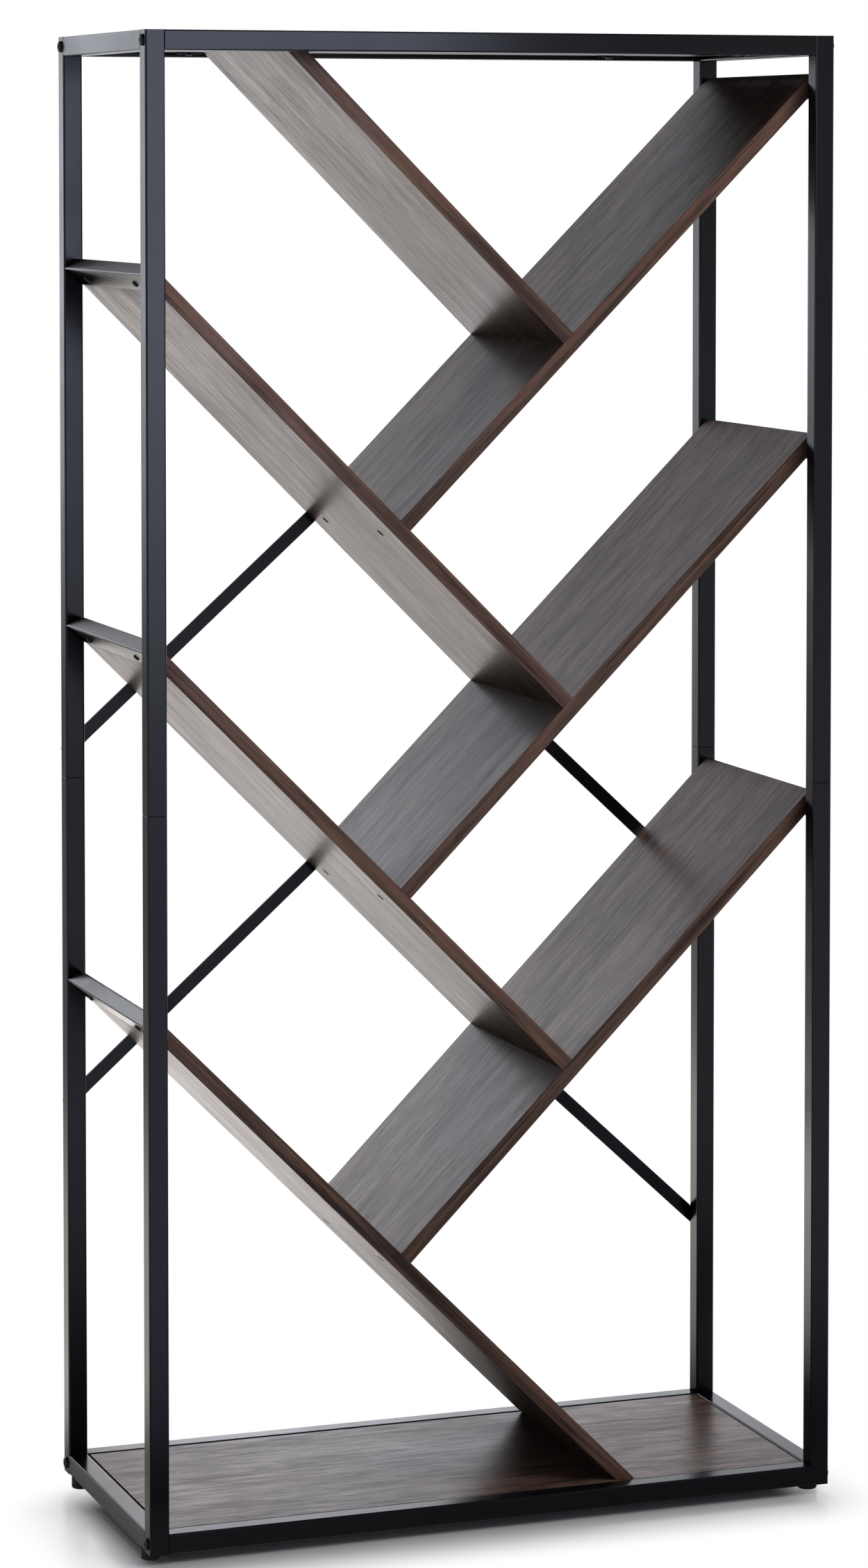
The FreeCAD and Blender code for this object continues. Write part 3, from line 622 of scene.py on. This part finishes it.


# paints the floor's mirror image: a glow that only mirror rays see, with a painted shadow close to the unit
def floorGlow(tree, where, path):
    look = floorMirror
    at = addNode(tree, "ShaderNodeSeparateXYZ", {0: where}).outputs
    away = awayFrom(tree, where, (0, 0, 0), look["foot"])
    bright = smoothly(tree, away, look["from"], look["to"], look["near"], look["far"])
    bright = sums(tree, "MULTIPLY", bright, brighterLeft(tree, at["X"]))
    farOut = smoothly(tree, at["Y"], look["outStart"], look["outEnd"], look["outNear"], look["outFar"])
    out = smoothly(tree, at["X"], look["outFrom"], look["outTo"], 0.0, 1.0)
    bright = sums(tree, "MULTIPLY", bright, mixValue(tree, out, 1.0, farOut))
    offStripe = sums(tree, "ABSOLUTE", sums(tree, "SUBTRACT", at["X"], look["stripeAt"]))
    stripe = spread(tree, offStripe, 0.0, look["stripeHalf"], look["stripe"], 0.0)
    bright = sums(tree, "MAXIMUM", bright, stripe)
    front = smoothly(tree, at["Y"], look["farTo"], look["farFrom"], look["frontFar"], look["frontNear"])
    behind = spread(tree, at["Y"], look["dimFrom"], look["dimTo"])
    tint = mixColour(tree, behind, look["front"], look["rear"])
    return glowOf(tree, path, mixValue(tree, behind, front, bright), tint)


def stageFloor():
    half = stageLook["half"]
    floor, tree, shader, where = quad(
        "floor", [(-half, -half, 0), (half, -half, 0), (half, half, 0), (-half, half, 0)])
    floor.location.z = -stageLook["below"]
    shader.inputs["Base Color"].default_value = stageLook["colour"]
    shader.inputs["Roughness"].default_value = stageLook["roughness"]
    path = addNode(tree, "ShaderNodeLightPath").outputs
    offShade = awayFrom(tree, where, stageLook["shadeAt"], stageLook["shade"])
    white = smoothly(tree, offShade, 0, stageLook["whiteTo"], 0.0, 1.0)
    backdrop = addNode(tree, "ShaderNodeEmission", {"Strength": 1.0})
    seen = addNode(tree, "ShaderNodeMixShader", {
        0: sums(tree, "MULTIPLY", white, seenStraight(tree, path)), 1: shader.outputs[0],
        2: backdrop.outputs[0]})
    both = addNode(tree, "ShaderNodeMixShader", {
        0: path["Is Glossy Ray"], 1: seen.outputs[0], 2: floorGlow(tree, where, path)})
    tree.links.new(both.outputs[0], tree.nodes["Material Output"].inputs["Surface"])


def standingCard(name, look):
    card, tree, shader, where = quad(name, [
        (look["start"], look["behind"], 0), (look["end"], look["behind"], 0),
        (look["end"], look["behind"], look["top"]), (look["start"], look["behind"], look["top"])])
    card.visible_camera = card.visible_diffuse = card.visible_shadow = card.visible_transmission = False
    return tree, addNode(tree, "ShaderNodeSeparateXYZ", {0: where}).outputs


def lightCard(tree, level, tint, clear=False):
    glow = glowOf(tree, addNode(tree, "ShaderNodeLightPath").outputs, level, tint)
    if clear:  # adds its light to what lies beyond it
        beyond = addNode(tree, "ShaderNodeBsdfTransparent").outputs[0]
        glow = addNode(tree, "ShaderNodeAddShader", {0: glow, 1: beyond}).outputs[0]
    tree.links.new(glow, tree.nodes["Material Output"].inputs["Surface"])


# the rear card, a glowing plane seen only in reflections that paints the sheen on boards and frame: brightest
# at table height and fading upwards, warm below and cool above, with a bright cool zone on the right
rearLook = {"behind": 2.6, "start": -0.56, "end": 4.5, "top": 4.0, "low": 1.0, "lowTo": 0.2,
            "bright": 1.55, "brightFrom": 0.75, "fadeFrom": 0.8, "fadeTo": 2.2, "grey": 0.3,
            "crown": 0.16, "crownFrom": 2.1, "crownTo": 2.6,
            "right": 3.3, "rightTop": 0.55, "topFrom": 0.7, "topTo": 1.02, "rightFrom": 0.25,
            "rightTo": 0.48, "rightLow": 0.6, "rightFall": 0.6, "fallFrom": 0.5, "fallTo": 1.6,
            "warm": (1, 0.95, 0.91, 1), "cool": (0.9, 0.93, 1, 1), "coolFrom": 0.7, "coolTo": 1.2}


def stageRearCard():
    look = rearLook
    tree, at = standingCard("rearCard", look)
    level = smoothly(tree, at["Z"], look["lowTo"], look["brightFrom"], look["low"], look["bright"])
    fade = smoothly(tree, at["Z"], look["fadeFrom"], look["fadeTo"], 1.0, look["grey"])
    crown = smoothly(tree, at["Z"], look["crownFrom"], look["crownTo"], 0.0, look["crown"])
    level = sums(tree, "ADD", sums(tree, "MULTIPLY", level, fade), crown)
    level = sums(tree, "MULTIPLY", level, brighterLeft(tree, at["X"]))
    aside = smoothly(tree, at["Z"], look["topFrom"], look["topTo"], look["right"], look["rightTop"])
    fall = smoothly(tree, at["X"], look["fallFrom"], look["fallTo"], 1.0, look["rightFall"])
    aside = sums(tree, "MULTIPLY", aside, fall)
    right = sums(
        tree, "MULTIPLY", smoothly(tree, at["X"], look["rightFrom"], look["rightTo"], 0.0, 1.0),
        smoothly(tree, at["Z"], look["lowTo"], look["rightLow"], 0.0, 1.0))
    high = smoothly(tree, at["Z"], look["coolFrom"], look["coolTo"], 0.0, 1.0)
    tint = mixColour(tree, sums(tree, "MAXIMUM", right, high), look["warm"], look["cool"])
    lightCard(tree, mixValue(tree, right, level, aside), tint)


# the left card, a glowing plane seen only in reflections that paints a reflection: far back, dark below and
# brighter towards the middle
leftLook = {"behind": 6.0, "start": -5.5, "end": -1.3, "top": 5.0, "low": 0.1, "lowTo": 0.15,
            "highFrom": 1.15, "out": 0.45, "in": 2.3, "outFrom": -2.65, "inFrom": -2.0,
            "colour": (0.88, 0.91, 1, 1)}


def stageLeftCard():
    look = leftLook
    tree, at = standingCard("leftCard", look)
    rise = smoothly(tree, at["Z"], look["lowTo"], look["highFrom"], look["low"], 1.0)
    inward = smoothly(tree, at["X"], look["outFrom"], look["inFrom"], look["out"], look["in"])
    lightCard(tree, sums(tree, "MULTIPLY", rise, inward), look["colour"])


# the front card, a glowing plane that paints a highlight seen only in reflections: close in front of the left
# posts, so that they and the top rail mirror it, and little else
frontLook = {"behind": -0.6, "start": -0.35, "end": 0.3, "top": 1.9, "level": 2.9, "lowShare": 0.08,
             "riseFrom": 0.66, "riseTo": 1.42, "postFrom": -0.2, "postTo": -0.1, "railLow": 1.56,
             "railHigh": 1.61, "railFrom": 0.0, "railTo": 0.25, "colour": (0.7, 0.76, 1, 1)}


def stageFrontCard():
    look = frontLook
    tree, at = standingCard("frontCard", look)
    post = sums(
        tree, "MULTIPLY", smoothly(tree, at["X"], look["postFrom"], look["postTo"], 1.0, 0.0),
        smoothly(tree, at["Z"], look["riseFrom"], look["riseTo"], look["lowShare"], 1.0))
    rail = sums(
        tree, "MULTIPLY", smoothly(tree, at["X"], look["railFrom"], look["railTo"], 1.0, 0.0),
        smoothly(tree, at["Z"], look["railLow"], look["railHigh"], 0.0, 1.0))
    level = sums(tree, "MULTIPLY", sums(tree, "MAXIMUM", post, rail), look["level"])
    lightCard(tree, level, look["colour"], clear=True)


# the world: white to the camera, a plain even light on the unit, dimmer above and in front in a mirror
worldLook = {"ambient": 0.16, "upper": 0.25, "fadeFrom": 0.06, "fadeTo": 0.4, "frontDim": 0.3,
             "dimFrom": -0.5, "dimTo": 0.3}


def stageWorld():
    look = worldLook
    world = bpy.data.worlds.new("studio")
    scene.world = world
    world.use_nodes = True
    tree = world.node_tree
    tree.nodes.clear()
    direction = addNode(tree, "ShaderNodeTexCoord").outputs["Generated"]
    aside = addNode(tree, "ShaderNodeSeparateXYZ", {0: direction}).outputs
    path = addNode(tree, "ShaderNodeLightPath").outputs
    above = spread(tree, aside["Z"], look["fadeFrom"], look["fadeTo"], 1.0, look["upper"])
    inFront = spread(tree, aside["Y"], look["dimFrom"], look["dimTo"], look["frontDim"], 1.0)
    wall = sums(tree, "MULTIPLY", sums(tree, "MULTIPLY", above, inFront), firstMirror(tree, path))
    around = mixValue(tree, path["Is Glossy Ray"], look["ambient"], wall)
    strength = mixValue(tree, seenStraight(tree, path), around, 1.0)
    background = addNode(tree, "ShaderNodeBackground", {"Color": (1, 1, 1, 1), "Strength": strength})
    addNode(tree, "ShaderNodeOutputWorld", {"Surface": background.outputs[0]})


lamps = {
    "key": {"at": (2.9, -3.6, 4.2), "to": (0, 0, 0.8), "size": (2.6, 2.6), "power": 150,
            "colour": (1, 0.985, 0.96)},
    "rearTop": {"at": (0.6, 3.0, 4.4), "to": (0, 0, 0.6), "size": (3.0, 1.6), "power": 130,
                "colour": (0.88, 0.94, 1)},
    "frontSoftbox": {"at": (1.1, -5.0, 1.55), "to": (-0.2, 0, 1.3), "size": (1.2, 1.6), "power": 24,
                     "colour": (0.7, 0.76, 1)},
}


def stageLamps():
    for name, lamp in lamps.items():
        light = bpy.data.lights.new(name, "AREA")
        light.shape = "RECTANGLE"
        light.size, light.size_y = lamp["size"]
        light.energy, light.color = lamp["power"], lamp["colour"]
        holder = newPiece(name, light)
        holder.visible_glossy = False  # polished faces mirror the cards instead
        holder.location = lamp["at"]
        aim = Vector(lamp["to"]) - Vector(lamp["at"])
        holder.rotation_euler = aim.to_track_quat("-Z", "Y").to_euler()


view = {"at": (-1.7611, -4.8358, 1.5135), "yaw": 19.885, "pitch": -2.879, "roll": 0.011,
        "lens": 104.99, "sensor": 36, "shiftY": -0.2524, "clipEnd": 200}


def stageCamera():
    camera = bpy.data.cameras.new("camera")
    camera.sensor_width, camera.sensor_fit = view["sensor"], "AUTO"
    camera.lens, camera.shift_y = view["lens"], view["shiftY"]
    camera.clip_end = view["clipEnd"]
    holder = newPiece("camera", camera)
    holder.location = view["at"]
    turn = (90 + view["pitch"], view["roll"], -view["yaw"])
    holder.rotation_euler = [math.radians(angle) for angle in turn]
    scene.camera = holder


stageFloor()
stageRearCard()
stageLeftCard()
stageFrontCard()
stageWorld()
stageLamps()
stageCamera()
print("stage set")
